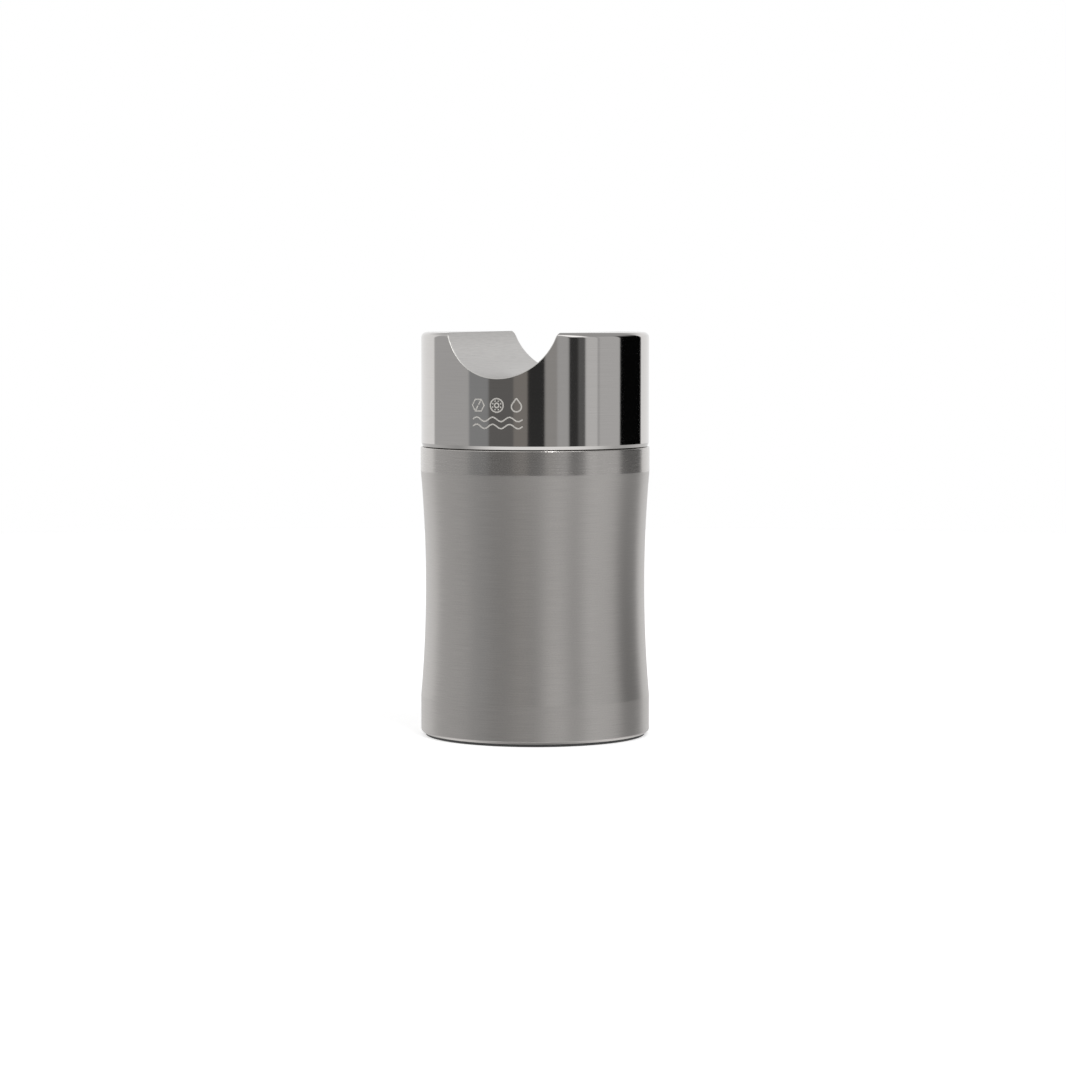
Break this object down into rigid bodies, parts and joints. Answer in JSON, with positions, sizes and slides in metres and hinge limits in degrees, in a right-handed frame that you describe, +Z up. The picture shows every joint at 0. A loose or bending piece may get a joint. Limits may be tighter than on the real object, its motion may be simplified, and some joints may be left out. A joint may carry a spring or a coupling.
{
  "type": "glass grinder",
  "caption": "Compact cordless glass grinder: waisted steel body with a small wet grinding deck, under a lift-off polished head with a half-round rest trough.",
  "frame": {"origin": "centre of the foot ring's underside, on the surface the grinder stands on", "axes": "+Z up along the spindle; the head's rest trough runs along Y; the marked front faces -Y"},
  "size_m": [0.04, 0.04, 0.0705],
  "materials": {
    "body_steel": "satin, finely turned",
    "head_steel": "polished outside, satin in the trough",
    "cap_steel": "satin",
    "collar_steel": "fine turned",
    "bright_steel": "bright",
    "ball_steel": "polished",
    "spring_steel": "bright drawn wire",
    "nickel": "plated",
    "magnet": "sintered",
    "alloy": "turned",
    "brass": "turned",
    "copper": "enamelled wire",
    "diamond_grit": "diamond grit in nickel, coarse",
    "black_rubber": "matte",
    "tray_plastic": "moulded",
    "deck_plastic": "fine textured",
    "inner_plastic": "moulded",
    "white_plastic": "moulded",
    "button_plastic": "soft touch",
    "circuit_board": "solder mask",
    "cell_jacket": "shrink sleeve",
    "wire_red": "insulation",
    "wire_black": "insulation",
    "sponge": "open-cell"
  },
  "bodies": {
    "body": {"body_shell": "body_steel", "spigot_collar": "collar_steel", "chassis_ring": "bright_steel", "housing_screws": "bright_steel", "deck_screws": "bright_steel", "motor_retainer": "bright_steel", "bearing_outer_races": "bright_steel", "bearing_shields": "bright_steel", "motor_can": "bright_steel", "bearing_balls": "ball_steel", "cell_springs": "spring_steel", "button_spring": "spring_steel", "body_magnets": "nickel", "upper_contacts": "nickel", "riser_strips": "nickel", "motor_magnet": "magnet", "spindle_housing": "alloy", "motor_bushes": "brass", "motor_terminals": "brass", "motor_brushes": "brass", "foot_ring": "black_rubber", "spigot_seal": "black_rubber", "shaft_seal": "black_rubber", "water_tray": "tray_plastic", "work_deck": "deck_plastic", "chassis_plate": "inner_plastic", "battery_carousel": "inner_plastic", "power_switch": "inner_plastic", "motor_end_bell": "white_plastic", "lower_contact_board": "circuit_board", "upper_contact_board": "circuit_board", "switch_board": "circuit_board", "battery_cells": "cell_jacket", "motor_leads": "wire_red", "switch_leads": "wire_black", "coolant_sponge": "sponge"},
    "head": {"head_shell": "head_steel", "head_magnets": "nickel"},
    "spindle": {"spindle_shaft": "bright_steel", "motor_shaft": "bright_steel", "motor_coil": "copper", "motor_commutator": "brass", "shaft_coupling": "alloy", "coupling_screws": "bright_steel", "bearing_inner_races": "bright_steel", "spindle_slinger": "black_rubber", "bit_hub": "brass", "bit_diamond_band": "diamond_grit", "bit_set_screw": "bright_steel"},
    "button": {"button_cap": "button_plastic", "button_seal": "black_rubber"},
    "base_cap": {"base_cap": "cap_steel", "base_seal": "black_rubber", "cap_pad": "black_rubber"}
  },
  "joints": [
    {"name": "head_lift", "type": "slide", "parent": "body", "child": "head", "axis": [0, 0, 1], "range_m": [0, 0.032]},
    {"name": "spindle_spin", "type": "hinge", "parent": "body", "child": "spindle", "pos_m": [0, 0, 0.047], "axis": [0, 0, 1], "continuous": true},
    {"name": "button_press", "type": "slide", "parent": "body", "child": "button", "axis": [0, 0, -1], "range_m": [0, 0.0008], "stiffness_N_per_m": 600, "springref_m": -0.0006, "deforming": ["button_spring"]},
    {"name": "base_cap_turn", "type": "hinge", "parent": "body", "child": "base_cap", "pos_m": [0, 0, 0.003], "axis": [0, 0, 1], "range_deg": [-45, 0]}
  ]
}
